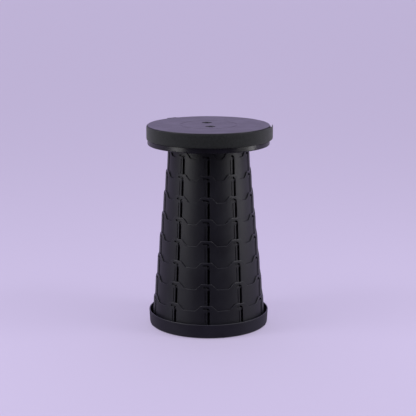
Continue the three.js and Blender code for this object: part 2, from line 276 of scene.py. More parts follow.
@dataclass(frozen=True)
class WovenWebbing(Finish):
    """Polypropylene webbing: matt yarns whose crowns catch a little light, in slightly uneven shades."""

    dark: str
    light: str
    # Thread spacing and the width of a shade in millimetres
    thread: float = 1.5
    patch: float = 5.0

    def surface(self, tree: Tree) -> dict:
        """Mottled yarns, drawn on the strap's own map, whose unit is a millimetre along and across.

        Args:
            tree: The material's tree.

        Returns:
            What the shader's inputs get.
        """
        along = add_node(tree, "ShaderNodeUVMap", uv_map=CarryStrap.MAP).outputs["UV"]
        mottle = add_node(tree, "ShaderNodeTexNoise", {
            "Vector": along, "Scale": 1 / self.patch, "Detail": 4.0, "Roughness": 0.7}).outputs["Fac"]
        # Fibres run along the strap, so their noise is stretched that way
        fibres = add_node(tree, "ShaderNodeMapping", {"Vector": along, "Scale": (0.6, 5.0, 1.0)})
        fuzz = add_node(tree, "ShaderNodeTexNoise", {
            "Vector": fibres.outputs["Vector"], "Scale": 1 / self.thread, "Detail": 2.0}).outputs["Fac"]
        shade = worked_out(tree, {"mottle": mottle, "fuzz": fuzz}, [
            ("both", "ADD", "mottle", "fuzz"), ("shade", "MULTIPLY", "both", 0.5)])["shade"]
        bump = add_node(tree, "ShaderNodeBump", {"Height": fuzz, "Distance": 0.25 * MM})
        return {"Base Color": two_toned(tree, shade, (0.32, 0.68), self.dark, self.light),
                "Roughness": 0.85, "IOR": 1.49, "Normal": bump.outputs["Normal"],
                "Sheen Weight": 0.35, "Sheen Roughness": 0.45, "Specular IOR Level": 0.3}


@dataclass(frozen=True)
class DarkRubber(Finish):
    """Moulded rubber: almost black, with a dusty bloom that keeps its highlights dull."""

    colour: str
    bloom: str
    # The width of a patch of dust in millimetres
    patch: float = 6.0

    def surface(self, tree: Tree) -> dict:
        """Dust in patches, which lie a little proud.

        Args:
            tree: The material's tree.

        Returns:
            What the shader's inputs get.
        """
        place = add_node(tree, "ShaderNodeTexCoord").outputs["Object"]
        dust = add_node(tree, "ShaderNodeTexNoise", {
            "Vector": place, "Scale": 1 / (self.patch * MM), "Detail": 4.0}).outputs["Fac"]
        bump = add_node(tree, "ShaderNodeBump", {"Height": dust, "Distance": 0.1 * MM})
        return {"Base Color": two_toned(tree, dust, (0.4, 0.8), self.colour, self.bloom),
                "Roughness": 0.8, "IOR": 1.52, "Normal": bump.outputs["Normal"]}


@dataclass(frozen=True)
class ZincSteel(Finish):
    """Zinc-plated steel: a cool grey metal with a fine uneven gloss from the plating."""

    colour: str
    dull_colour: str
    # The width of the plating's spangle in millimetres
    spangle: float = 1.2

    def surface(self, tree: Tree) -> dict:
        """Spangle in colour and in gloss.

        Args:
            tree: The material's tree.

        Returns:
            What the shader's inputs get.
        """
        place = add_node(tree, "ShaderNodeTexCoord").outputs["Object"]
        spangle = add_node(tree, "ShaderNodeTexNoise", {
            "Vector": place, "Scale": 1 / (self.spangle * MM), "Detail": 3.0}).outputs["Fac"]
        gloss = add_node(tree, "ShaderNodeMapRange", {"Value": spangle, "To Min": 0.25, "To Max": 0.42})
        return {"Base Color": two_toned(tree, spangle, (0.35, 0.7), self.dull_colour, self.colour),
                "Roughness": gloss.outputs["Result"], "Metallic": 1.0}


@dataclass(frozen=True)
class Palette:
    """The finishes of the stool."""

    ring: Material
    base: Material
    seat: Material
    webbing: Material
    slider: Material
    rubber: Material
    steel: Material

    @classmethod
    def mixed(cls) -> "Palette":
        """Builds every finish.

        Returns:
            The palette.
        """
        finishes = {
            # The rings' rims get rubbed wear with a painted highlight, and their cuts get painted shade
            "ring": MouldedPlastic("black moulded polypropylene", "#12111b", "#1a1a24", 0.48, rim_wear_and_highlight=0.8),
            "base": MouldedPlastic("black moulded polypropylene, base", "#151320", "#1e1c2a", 0.46),
            "seat": MouldedPlastic("black moulded polypropylene, satin seat", "#16151c", "#201e28", 0.46,
                                   polished_below=389.0),
            "webbing": WovenWebbing("black polypropylene webbing", "#151617", "#323436"),
            "slider": MouldedPlastic("black moulded acetal", "#141317", "#1c1b20", 0.35, grain_depth=0.02),
            "rubber": DarkRubber("black moulded rubber", "#0e0e0f", "#232224"),
            "steel": ZincSteel("zinc-plated steel", "#b9bcc0", "#8d9196"),
        }
        return cls(**{piece: finish.material() for piece, finish in finishes.items()})


# Outlines and meshes. All lengths are in millimetres until mesh_object turns them to metres.


def plan_point(radius: float, azimuth: float) -> Point:
    """A point of the plan. Azimuths run from the front, -Y, towards +X."""
    return radius * math.sin(azimuth), -radius * math.cos(azimuth)


def axes_at(azimuth: float) -> tuple[Vector, Vector]:
    """The directions outwards and sideways at an azimuth."""
    return Vector((*plan_point(1.0, azimuth), 0.0)), Vector((math.cos(azimuth), math.sin(azimuth), 0.0))


def round_circle(radius: float, count: int, first: float = 0.0) -> Outline:
    """Evenly spaced points of a circle in plan, from an azimuth on."""
    return [plan_point(radius, first + FULL_TURN * i / count) for i in range(count)]


def arc(centre: Point, radius: float, start: float, end: float, steps: int) -> Outline:
    """Points of an arc.

    Args:
        centre: The arc's centre.
        radius: Its radius.
        start: The first angle in radians, from the first axis.
        end: The last angle.
        steps: How many steps there are between them.

    Returns:
        The points, with both ends.
    """
    angles = [start + (end - start) * i / steps for i in range(steps + 1)]
    return [(centre[0] + radius * math.cos(a), centre[1] + radius * math.sin(a)) for a in angles]


def eased(corners: Sequence[tuple[float, float, float]], steps: int = 4) -> Outline:
    """A closed outline whose corners are rounded.

    Args:
        corners: Across, up and rounding radius of each corner, counter-clockwise.
        steps: Steps in each rounded corner. Wide corners get more.

    Returns:
        The outline's points.
    """
    outline: Outline = []
    for i, (x, z, radius) in enumerate(corners):
        here = Vector((x, z))
        back = (Vector(corners[i - 1][:2]) - here).normalized()
        ahead = (Vector(corners[(i + 1) % len(corners)][:2]) - here).normalized()
        half = back.angle(ahead) / 2
        reach = radius / math.tan(half)
        centre = here + (back + ahead).normalized() * (radius / math.sin(half))
        start, end = (here + side * reach - centre for side in (back, ahead))
        first = math.atan2(start.y, start.x)
        sweep = (math.atan2(end.y, end.x) - first + math.pi) % FULL_TURN - math.pi
        outline += arc(tuple(centre), radius, first, first + sweep, max(steps, round(radius * 1.6)))
    return outline


def oblong(low: Point, high: Point, foot_radius: float, top_radius: float | None = None, steps: int = 4) -> Outline:
    """An oblong with rounded corners.

    Args:
        low: Its left lower corner.
        high: Its right upper corner.
        foot_radius: The radius of its lower corners.
        top_radius: The radius of its upper corners, if it differs.
        steps: Steps in each rounded corner.

    Returns:
        The outline's points, counter-clockwise.
    """
    top_radius = foot_radius if top_radius is None else top_radius
    return eased([(*low, foot_radius), (high[0], low[1], foot_radius), (*high, top_radius),
                  (low[0], high[1], top_radius)], steps)


def followed(marks: Sequence[Point], place: float) -> float:
    """The value at a place between marks, with a smooth change from each mark to the next.

    Args:
        marks: Places with their values, lowest place first.
        place: Where the value is wanted.

    Returns:
        The value there. Beyond the marks it stays the same.
    """
    for (low, first), (high, second) in zip(marks, marks[1:]):
        if place <= high:
            share = max(0.0, (place - low) / (high - low))
            return first + (second - first) * share * share * (3 - 2 * share)
    return marks[-1][1]


def grown(outline: Outline, growth: float) -> Outline:
    """Moves an outline outwards.

    Args:
        outline: The outline, counter-clockwise.
        growth: How far it moves. Below nought it moves inwards.

    Returns:
        The moved outline.
    """
    moved: Outline = []
    for i, point in enumerate(outline):
        here = Vector(point)
        before = (here - Vector(outline[i - 1])).normalized()
        after = (Vector(outline[(i + 1) % len(outline)]) - here).normalized()
        normals = Vector((before.y, -before.x)) + Vector((after.y, -after.x))
        step = normals.normalized() * (growth * 2 / max(normals.length, 1.0))
        moved.append(tuple(here + step))
    return moved


def lathe(bm: BMesh, profile: Sequence[Point], segments: int, centre: Point = (0.0, 0.0)) -> None:
    """Turns a closed profile about an upright axis.

    Args:
        bm: The mesh that gets the faces.
        profile: Radius and height of each point. Points on the axis become poles.
        segments: How many columns the turn has.
        centre: Where the axis stands in plan.
    """
    columns = []
    for radius, height in profile:
        if radius < 1e-6:
            columns.append([bm.verts.new((centre[0], centre[1], height))] * segments)
            continue
        ring = round_circle(radius, segments)
        columns.append([bm.verts.new((centre[0] + x, centre[1] + y, height)) for x, y in ring])
    for low, high in zip(columns, columns[1:] + columns[:1]):
        for i in range(segments):
            j = (i + 1) % segments
            corners = list(dict.fromkeys((low[i], low[j], high[j], high[i])))
            if len(corners) > 2:
                bm.faces.new(corners)


def drum(bm: BMesh, radius: float, foot: float, top: float, segments: int, centre: Point) -> None:
    """Turns a plain drum. Its radius comes first, then the heights of its ends."""
    lathe(bm, [(0.0, foot), (radius, foot), (radius, top), (0.0, top)], segments, centre)


def prism(bm: BMesh, outline: Outline, place: Placing, levels: Sequence[Point]) -> None:
    """Raises an outline through levels, each of which may be grown.

    Args:
        bm: The mesh that gets the faces.
        outline: The outline, counter-clockwise.
        place: Gives the point for across, up and level.
        levels: Pairs of level and growth of the outline.
    """
    rows = [[bm.verts.new(place(x, z, level)) for x, z in grown(outline, growth)] for level, growth in levels]
    for low, high in zip(rows, rows[1:]):
        for i in range(len(low)):
            j = (i + 1) % len(low)
            bm.faces.new((low[i], low[j], high[j], high[i]))
    caps = [bm.faces.new(rows[0]), bm.faces.new(rows[-1])]
    bmesh.ops.triangulate(bm, faces=caps)


def mesh_object(name: str, bm: BMesh, material: Material | None = None) -> Shape:
    """Makes an object from a mesh in millimetres, with its faces outwards.

    Args:
        name: The object's name.
        bm: The mesh, which is used up.
        material: Its material, if it is to be seen.

    Returns:
        The object, in metres, in the scene.
    """
    bmesh.ops.recalc_face_normals(bm, faces=bm.faces)
    bmesh.ops.scale(bm, vec=(MM, MM, MM), verts=bm.verts)
    mesh = bpy.data.meshes.new(name)
    bm.to_mesh(mesh)
    bm.free()
    made = bpy.data.objects.new(name, mesh)
    bpy.context.scene.collection.objects.link(made)
    if material:
        mesh.materials.append(material)
    return made


def plain_mesh(made: Shape) -> None:
    """Turns what an object's modifiers give into its mesh, and removes the modifiers.

    Args:
        made: The object.
    """
    bpy.context.view_layer.update()
    result = bpy.data.meshes.new_from_object(made.evaluated_get(bpy.context.evaluated_depsgraph_get()))
    result.name = made.name
    made.modifiers.clear()
    made.data = result


def combined(target: Shape, tool: Shape, join: Join) -> None:
    """Cuts a tool from a target, or joins it on, and removes the tool.

    Args:
        target: The closed object that changes.
        tool: A closed object, or several in one mesh.
        join: Whether the tool is cut or added.
    """
    modifier = target.modifiers.new(join.name, "BOOLEAN")
    modifier.operation = join.value
    modifier.solver = "EXACT"
    modifier.use_self = True
    modifier.object = tool
    plain_mesh(target)
    bpy.data.objects.remove(tool)


def smoothed(made: Shape, crease: float = SOFT_CREASE) -> Shape:
    """Shades an object smooth.

    Args:
        made: The object.
        crease: Edges stay sharp where the faces turn by more than this.

    Returns:
        The same object.
    """
    made.data.shade_smooth()
    made.data.set_sharp_from_angle(angle=crease)
    level = made.modifiers.new("level shading", "WEIGHTED_NORMAL")
    level.keep_sharp = True
    plain_mesh(made)
    return made


def handed_over(made: Shape, body: str, slot: Slot, nodes: Iterable[str]) -> None:
    """Lets a piece ride on its body and stand for its CAD nodes, and reports it.

    Args:
        made: The finished piece.
        body: The name of the body that carries it.
        slot: Its material slot. It is not used.
        nodes: The CAD nodes that it stands for.
    """
    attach(made, body)
    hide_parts(*nodes)
    LOG.info("%s rides on %s, %d faces", made.name, body, len(made.data.polygons))


class ShapeTree:
    """A geometry tree with named inputs, which ends in real geometry with a material."""

    NAME: str
    SOCKETS: dict[str, str]

    def __init__(self) -> None:
        """Starts the tree, lets its kind add the shapes, and ends it."""
        self.tree = bpy.data.node_groups.new(self.NAME, "GeometryNodeTree")
        for label, kind in self.SOCKETS.items():
            self.tree.interface.new_socket(name=label, in_out="INPUT", socket_type=f"NodeSocket{kind}")
        self.tree.interface.new_socket(name="Mesh", in_out="OUTPUT", socket_type="NodeSocketGeometry")
        group = self.tree.nodes.new("NodeGroupInput")
        self.given = {socket.name: socket for socket in group.outputs if socket.name}
        real = add_node(self.tree, "GeometryNodeRealizeInstances", {0: self.shapes()})
        dressed = add_node(self.tree, "GeometryNodeSetMaterial", {
            "Geometry": real.outputs[0], "Material": self.given["Material"]})
        add_node(self.tree, "NodeGroupOutput", {0: dressed.outputs[0]})

    def shapes(self) -> Socket:
        """Adds the nodes that make the shapes, and returns their geometry."""
        raise NotImplementedError

    def copies(self, name: str, points: bpy.types.Node, azimuth: Socket, chosen: Socket | bool = True) -> Socket:
        """Stands copies of an object on points.

        Args:
            name: The input that gives the object.
            points: The node that makes the points.
            azimuth: How far the copy on a point is turned.
            chosen: Which points get a copy.

        Returns:
            The copies.
        """
        turn = add_node(self.tree, "ShaderNodeCombineXYZ", {"Z": azimuth})
        piece = add_node(self.tree, "GeometryNodeObjectInfo", {"Object": self.given[name], "As Instance": True})
        return add_node(self.tree, "GeometryNodeInstanceOnPoints", {
            "Points": points.outputs[0], "Selection": chosen,
            "Instance": piece.outputs["Geometry"], "Rotation": turn.outputs[0]}).outputs[0]

    def run(self, name: str, values: dict[str, object]) -> Shape:
        """Keeps what the tree makes as a plain mesh.

        Args:
            name: The new object's name.
            values: A value for every named input. The objects among them are used up.

        Returns:
            The object, at the origin.
        """
        made = bpy.data.objects.new(name, bpy.data.meshes.new(name))
        bpy.context.scene.collection.objects.link(made)
        modifier = made.modifiers.new(name, "NODES")
        modifier.node_group = self.tree
        for item in self.tree.interface.items_tree:
            if item.in_out == "INPUT":
                modifier[item.identifier] = values[item.name]
        plain_mesh(made)
        for tool in values.values():
            if isinstance(tool, Shape):
                bpy.data.objects.remove(tool)
        return made


class RingTree(ShapeTree):
    """The tree of a nesting ring: a conical wall whose top edge waves, cut by slots and set with lugs."""

    # On each face: 1 on the top edge, which gets rubbed wear and a painted highlight, -1 inside a cut, which gets
    # painted shade, 0 elsewhere
    WEAR_HIGHLIGHT_AND_SHADE_MARK = "edge"
    NAME = "nesting ring"
    SOCKETS = {
        **dict.fromkeys(("Foot Radius", "Foot Height", "Wall", "Peak Height", "Draft Slope", "Wave Depth",
                         "Peak Width", "Peak Offset", "Slope Angle", "Edge Rounding", "Rubbed Share"), "Float"),
        **dict.fromkeys(("Slot Count", "Blind Slots", "Columns"), "Int"),
        **dict.fromkeys(("Slot Cutter", "Blind Cutter", "Lug", "Collar"), "Object"),
        "Material": "Material",
    }
    # How far a point of the band stands past the flat of a peak, as a share of the slope beside it
    TO_THE_SLOPE = (
        ("front", "MULTIPLY", "Y", -1.0), ("azimuth", "ARCTAN2", "X", "front"),
        ("x squared", "MULTIPLY", "X", "X"), ("y squared", "MULTIPLY", "Y", "Y"),
        ("squares", "ADD", "x squared", "y squared"), ("radius", "SQRT", "squares"),
        ("from middle", "DIVIDE", "Z", "Peak Height"), ("share", "ADD", "from middle", 0.5),
        ("lean", "MULTIPLY", "Peak Height", "Draft Slope"), ("top radius", "SUBTRACT", "Foot Radius", "lean"),
        ("sector", "DIVIDE", math.pi, "Slot Count"), ("sector start", "MULTIPLY", "sector", -1.0),
        ("offset", "DIVIDE", "Peak Offset", "top radius"), ("shifted", "ADD", "azimuth", "offset"),
        ("turned", "WRAP", "shifted", "sector", "sector start"), ("from peak", "ABSOLUTE", "turned"),
        ("half peak", "MULTIPLY", "Peak Width", 0.5), ("flat", "DIVIDE", "half peak", "top radius"),
        ("past", "SUBTRACT", "from peak", "flat"), ("slope", "DIVIDE", "past", "Slope Angle"),
    )
    # Where that point goes: the slope falls half straight and half softly
    FROM_THE_SLOPE = (
        ("both", "ADD", "straight", "soft"), ("fall", "MULTIPLY", "both", 0.5),
        ("drop", "MULTIPLY", "fall", "Wave Depth"), ("height", "SUBTRACT", "Peak Height", "drop"),
        ("up", "MULTIPLY", "share", "height"), ("inwards", "MULTIPLY", "up", "Draft Slope"),
        ("out", "SUBTRACT", "radius", "inwards"), ("sine", "SINE", "azimuth"), ("cosine", "COSINE", "azimuth"),
        ("across", "MULTIPLY", "out", "sine"), ("forward", "MULTIPLY", "out", "cosine"),
        ("ahead", "MULTIPLY", "forward", -1.0), ("worn_highlit_rim", "GREATER_THAN", "share", "Rubbed Share"),
    )
    # Which slot lines are blind: the ones that stand nearest to the back
    SLOT_LINES = (
        ("turns", "MULTIPLY", "index", FULL_TURN), ("azimuth", "DIVIDE", "turns", "Slot Count"),
        ("back", "MULTIPLY", "Slot Count", 0.5), ("past back", "SUBTRACT", "index", "back"),
        ("from back", "ABSOLUTE", "past back"), ("half blind", "MULTIPLY", "Blind Slots", 0.5),
        ("blind", "LESS_THAN", "from back", "half blind"), ("open", "SUBTRACT", 1.0, "blind"),
    )

    def shapes(self) -> Socket:
        """The wall, cut on every slot line, with its lugs and its collar, at its height.

        Returns:
            The whole ring.
        """
        ring = self.waved(self.band())
        ring = self.joined(ring, self.on_slot_lines("Slot Cutter", "open"), Join.CUT)
        ring = self.joined(ring, self.on_slot_lines("Blind Cutter", "blind"), Join.CUT)
        ring = self.joined(ring, self.on_slot_lines("Lug", "open"), Join.ADD)
        collar = add_node(self.tree, "GeometryNodeObjectInfo", {"Object": self.given["Collar"]})
        ring = self.joined(ring, collar.outputs["Geometry"], Join.ADD)
        lift = add_node(self.tree, "ShaderNodeCombineXYZ", {"Z": self.given["Foot Height"]})
        return add_node(self.tree, "GeometryNodeTransform", {
            "Geometry": ring, "Translation": lift.outputs[0]}).outputs[0]

    def band(self) -> Socket:
        """An upright band on a circle, with rounded edges, centred on the ground.

        Returns:
            The band.
        """
        middle = worked_out(self.tree, self.given, [
            ("half wall", "MULTIPLY", "Wall", 0.5), ("middle", "SUBTRACT", "Foot Radius", "half wall")])["middle"]
        circle = add_node(self.tree, "GeometryNodeCurvePrimitiveCircle", {
            "Resolution": self.given["Columns"], "Radius": middle})
        upright = add_node(self.tree, "GeometryNodeSetCurveNormal", {0: circle.outputs[0]}, mode="Z_UP")
        section = add_node(self.tree, "GeometryNodeCurvePrimitiveQuadrilateral", {
            "Width": self.given["Wall"], "Height": self.given["Peak Height"]})
        rounded = add_node(self.tree, "GeometryNodeFilletCurve", {
            "Curve": section.outputs[0], "Radius": self.given["Edge Rounding"], "Count": 4}, mode="POLY")
        return add_node(self.tree, "GeometryNodeCurveToMesh", {
            "Curve": upright.outputs[0], "Profile Curve": rounded.outputs[0]}).outputs[0]

    def waved(self, band: Socket) -> Socket:
        """Leans the band inwards, lowers its top edge between the peaks, and marks that edge.

        Args:
            band: The upright band.

        Returns:
            The conical wall.
        """
        place = add_node(self.tree, "GeometryNodeInputPosition").outputs[0]
        axes = add_node(self.tree, "ShaderNodeSeparateXYZ", {0: place}).outputs
        values = worked_out(self.tree, {**self.given, **{axis.name: axis for axis in axes}}, self.TO_THE_SLOPE)
        for way, interpolation in (("straight", "LINEAR"), ("soft", "SMOOTHSTEP")):
            values[way] = add_node(self.tree, "ShaderNodeMapRange", {"Value": values["slope"]},
                                   interpolation_type=interpolation).outputs[0]
        values = worked_out(self.tree, values, self.FROM_THE_SLOPE)
        marked = add_node(self.tree, "GeometryNodeStoreNamedAttribute", {
            "Geometry": band, "Name": self.WEAR_HIGHLIGHT_AND_SHADE_MARK, "Value": values["worn_highlit_rim"]}, data_type="FLOAT", domain="FACE")
        target = add_node(self.tree, "ShaderNodeCombineXYZ", {
            0: values["across"], 1: values["ahead"], 2: values["up"]})
        return add_node(self.tree, "GeometryNodeSetPosition", {
            "Geometry": marked.outputs[0], "Position": target.outputs[0]}).outputs[0]

    def on_slot_lines(self, name: str, kind: str) -> Socket:
        """Copies of an object on the slot lines of one kind.

        Args:
            name: The input that gives the object.
            kind: Which lines they stand on, open or blind.

        Returns:
            The copies as one mesh.
        """
        index = add_node(self.tree, "GeometryNodeInputIndex").outputs[0]
        values = worked_out(self.tree, {"index": index, **self.given}, self.SLOT_LINES)
        points = add_node(self.tree, "GeometryNodePoints", {"Count": values["Slot Count"]})
        copies = self.copies(name, points, values["azimuth"], values[kind])
        return add_node(self.tree, "GeometryNodeRealizeInstances", {0: copies}).outputs[0]

    def joined(self, mesh: Socket, tools: Socket, join: Join) -> Socket:
        """Cuts tools from a mesh, or joins them on.

        Args:
            mesh: The mesh.
            tools: The tools, as one mesh.
            join: Whether they are cut or added.

        Returns:
            The result.
        """
        cut = {"Mesh 1": mesh} if join is Join.CUT else {}
        node = add_node(self.tree, "GeometryNodeMeshBoolean", {**cut, "Mesh 2": tools}, operation=join.value,
                        solver="EXACT")
        if join is Join.ADD:
            self.tree.links.new(mesh, node.inputs["Mesh 2"])
        return node.outputs["Mesh"]


@dataclass
class NestingRings:
    """The nine rings. Number 1 is the innermost and stands highest."""

    palette: Palette
    count: int = 9
    slot_count: int = 10
    columns: int = 480
    travel: float = 43.5
    outer_foot_radius: float = 117.3
    wall: float = 2.0
    clearance: float = 0.4
    draft: float = math.tan(math.radians(2.7))
    peak: float = 62.5
    wave_depth: float = 11.0
    peak_width: float = 20.0
    peak_offset: float = 4.3
    slope_angle: float = math.radians(6.8)
    edge_rounding: float = 0.7
    # Above this share of the wall's height the top edge gets rubbed wear and a painted highlight
    worn_highlit_rim_share: float = 0.985
    cut_rounding: float = 0.5
    corner_rounding: float = 0.6
    # How far a cutter stands out of the wall, how far it runs past it, and how far behind its rounding the painted
    # shade of a cut begins
    cut_lift: float = 0.25
    overrun: float = 1.0
    cut_margin: float = 0.1
    slot_half: float = 2.5
    slot_foot: float = 10.0
    slot_top: float = 58.0
    hook_bend: float = 7.0
    hook_reach: float = 9.2
    hook_height: float = 3.6
    hook_end: float = 1.6
    strip_nose: float = 2.0
    slit_half: float = 0.6
    slit_offset: float = 6.9
    slit_foot: float = 20.0
    slit_top: float = 49.0
    blind_web: float = 0.8
    blind_slots: int = 3
    notch_top: float = 4.8
    lug_half: float = 2.2
    lug_top: float = 9.0
    lug_height: float = 3.2
    lug_reach: float = 1.75
    lug_rounding: float = 0.4
    lug_foot_share: float = 0.35
    collar_top: float = 53.0
    collar_thickness: float = 3.0
    collar_reach: float = 15.0
    screw_count: int = 6
    screw_inset: float = 8.0
    screw_hole: float = 2.0

    def foot_radius(self, number: int) -> float:
        """The outer radius of a ring at its foot."""
        step = self.wall + self.clearance + self.travel * self.draft
        return self.outer_foot_radius - (self.count - number) * step

    def screw_circle(self) -> float:
        """The radius of the circle of screws in the top ring's collar."""
        return self.foot_radius(1) - self.wall - self.collar_top * self.draft - self.screw_inset

    def on_wall(self, foot_radius: float) -> Placing:
        """Gives a function that lays shapes on a ring's outer face.

        Args:
            foot_radius: The ring's radius at its foot.

        Returns:
            A function that turns across, up and depth into a point.
        """
        def place(across: float, up: float, depth: float) -> Vector:
            """The point at that place on the wall."""
            face = foot_radius - up * self.draft
            return Vector((*plan_point(face + depth, across / face), up))
        return place

    def slot_outline(self) -> Outline:
        """The slot with its hooked top, seen from outside.

        Returns:
            The outline's points.
        """
        half, top, foot, corner = self.slot_half, self.slot_top, self.slot_foot, self.corner_rounding
        end, hook_floor = -half - self.hook_reach, top - self.hook_height
        return eased([
            (-half, foot, corner), (half, foot, corner), (half, top, self.hook_bend), (end, top, self.hook_end),
            (end, hook_floor, self.hook_end), (-half, hook_floor, self.strip_nose)])

    def slit_outline(self) -> Outline:
        """The narrow slit that frees the strip beside the slot. Its ends are all but half circles."""
        left, right = -self.slit_offset - self.slit_half, -self.slit_offset + self.slit_half
        return oblong((left, self.slit_foot), (right, self.slit_top), self.slit_half * 0.95)

    def cut_levels(self, deepest: float, rounding: float) -> list[Point]:
        """The levels of a cut whose outer edge is rounded.

        Args:
            deepest: How deep the cut goes into the wall.
            rounding: The radius of its outer edge.

        Returns:
            Pairs of depth and growth.
        """
        angles = [math.radians(a) for a in (0, 20, 40, 60)]
        edge = [(rounding * (math.sin(a) - 1), rounding * (1 - math.cos(a))) for a in angles]
        last = (self.cut_lift, edge[-1][1] + (self.cut_lift - edge[-1][0]) * math.tan(angles[-1]))
        return [(-deepest, 0.0), *edge, last]

    def slot_cutter(self, foot_radius: float, slotted: bool) -> Shape:
        """What is cut right through a ring on each open slot line.

        Args:
            foot_radius: The ring's radius at its foot.
            slotted: Whether the ring has slots and slits, or only windows above its lugs.

        Returns:
            The cutter: a slot and a slit, or a window, and the notch below the lug.
        """
        bm = bmesh.new()
        place, half, corner = self.on_wall(foot_radius), self.slot_half, self.corner_rounding
        levels = self.cut_levels(self.wall + self.overrun, self.cut_rounding)
        if slotted:
            prism(bm, self.slot_outline(), place, levels)
            narrow = self.cut_levels(self.wall + self.overrun, self.cut_rounding / 2)
            prism(bm, self.slit_outline(), place, narrow)
        else:
            window = oblong((-half, self.slot_foot), (half, self.slot_top - self.travel), corner)
            prism(bm, window, place, levels)
        notch = oblong((-half, -2 * self.overrun), (half, self.notch_top), 0.4, corner)
        prism(bm, notch, place, levels)
        return self.marked_for_painted_shade(mesh_object("slot_cutter", bm), foot_radius)

    def blind_cutter(self, foot_radius: float) -> Shape:
        """What is cut into a ring on each blind slot line: a slot that stops at a thin web.

        Args:
            foot_radius: The ring's radius at its foot.

        Returns:
            The cutter.
        """
        bm = bmesh.new()
        levels = self.cut_levels(self.wall - self.blind_web, self.cut_rounding)
        prism(bm, self.slot_outline(), self.on_wall(foot_radius), levels)
        return self.marked_for_painted_shade(mesh_object("blind_cutter", bm), foot_radius)

    def marked_for_painted_shade(self, cutter: Shape, foot_radius: float) -> Shape:
        """Marks a cutter behind its rounded edge, so that the walls it leaves get painted shade.

        Args:
            cutter: The cutter.
            foot_radius: The radius of the ring at its foot.

        Returns:
            The same cutter.
        """
        mesh, marks = cutter.data, []
        for face in mesh.polygons:
            spots = [mesh.vertices[i].co / MM for i in face.vertices]
            deepest = min(math.hypot(spot.x, spot.y) - foot_radius + spot.z * self.draft for spot in spots)
            marks.append(-1.0 if deepest < -self.cut_rounding - self.cut_margin else 0.0)
        mesh.attributes.new(RingTree.WEAR_HIGHLIGHT_AND_SHADE_MARK, "FLOAT", "FACE").data.foreach_set("value", marks)
        return cutter

    def lug(self, foot_radius: float) -> Shape:
        """A lug that rides in the slot of the next ring out, with a face that slopes back towards its foot.

        Args:
            foot_radius: The radius at the foot of the ring that carries it.

        Returns:
            The lug.
        """
        bm = bmesh.new()
        low, high, half = self.lug_top - self.lug_height, self.lug_top, self.lug_half
        on_wall = self.on_wall(foot_radius)

        def place(across: float, up: float, depth: float) -> Vector:
            """The point at that place, drawn in towards the lug's foot."""
            share = self.lug_foot_share + (1 - self.lug_foot_share) * (up - low) / self.lug_height
            return on_wall(across, up, depth * share if depth > 0 else depth)

        rounding = self.lug_rounding
        edge = [(self.lug_reach - rounding * (1 - math.sin(a)), -rounding * (1 - math.cos(a)))
                for a in (0.0, math.radians(30), math.radians(60), math.radians(85))]
        prism(bm, oblong((-half, low), (half, high), 0.5, 1.3), place, [(-self.wall / 2, 0.0), *edge])
        return mesh_object("lug", bm)

    def collar(self) -> Shape:
        """The top ring's collar, with holes for the screws.

        Returns:
            The collar.
        """
        bm = bmesh.new()
        outer = self.foot_radius(1) - self.wall / 2 - self.collar_top * self.draft
        inner = outer - self.wall / 2 - self.collar_reach
        top, foot, soft, sharp = self.collar_top, self.collar_top - self.collar_thickness, 0.6, 0.05
        lathe(bm, eased([(inner, foot, soft), (outer, foot, sharp), (outer, top, sharp), (inner, top, soft)]), 192)
        made = mesh_object("collar", bm)
        holes = bmesh.new()
        for centre in round_circle(self.screw_circle(), self.screw_count):
            drum(holes, self.screw_hole, foot - self.overrun, top + self.overrun, 24, centre)
        combined(made, mesh_object("screw_holes", holes), Join.CUT)
        return made

    def build(self) -> None:
        """Makes the nine rings from one tree."""
        tree = RingTree()
        for number in range(1, self.count + 1):
            radius, slotted, node = self.foot_radius(number), number > 1, f"ring_{number}"
            made = tree.run(f"slotted_{node}" if slotted else "top_ring", {
                "Slot Cutter": self.slot_cutter(radius, slotted),
                "Blind Cutter": self.blind_cutter(radius) if slotted else None,
                "Lug": self.lug(radius), "Collar": None if slotted else self.collar(),
                "Foot Radius": radius * MM, "Foot Height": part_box(node)[0][2], "Wall": self.wall * MM,
                "Peak Height": self.peak * MM, "Draft Slope": self.draft,
                "Wave Depth": self.wave_depth * MM if slotted else 0.0, "Peak Width": self.peak_width * MM,
                "Peak Offset": self.peak_offset * MM, "Slope Angle": self.slope_angle,
                "Edge Rounding": self.edge_rounding * MM, "Rubbed Share": self.worn_highlit_rim_share,
                "Slot Count": self.slot_count, "Blind Slots": self.blind_slots, "Columns": self.columns,
                "Material": self.palette.ring})
            body = {1: Body.SEAT.value, self.count: Body.BASE.value}.get(number, node)
            handed_over(smoothed(made), body, Slot.RING, [node])


class RoundTree(ShapeTree):
    """The tree that sets copies of a small piece on a circle about the stool's axis."""

    NAME = "pieces on a circle"
    SOCKETS = {"Piece": "Object", "Count": "Int", "Circle Radius": "Float", "First Azimuth": "Float",
               "Height": "Float", "Material": "Material"}
    CIRCLE = (
        ("step", "DIVIDE", FULL_TURN, "Count"), ("azimuth", "MULTIPLY_ADD", "index", "step", "First Azimuth"),
        ("sine", "SINE", "azimuth"), ("cosine", "COSINE", "azimuth"), ("front", "MULTIPLY", "cosine", -1.0),
        ("across", "MULTIPLY", "sine", "Circle Radius"), ("ahead", "MULTIPLY", "front", "Circle Radius"),
    )

    def shapes(self) -> Socket:
        """Stands the copies on their circle.

        Returns:
            The copies.
        """
        index = add_node(self.tree, "GeometryNodeInputIndex").outputs[0]
        values = worked_out(self.tree, {"index": index, **self.given}, self.CIRCLE)
        spot = add_node(self.tree, "ShaderNodeCombineXYZ", {
            0: values["across"], 1: values["ahead"], 2: values["Height"]})
        points = add_node(self.tree, "GeometryNodePoints", {
            "Count": values["Count"], "Position": spot.outputs[0]})
        return self.copies("Piece", points, values["azimuth"])


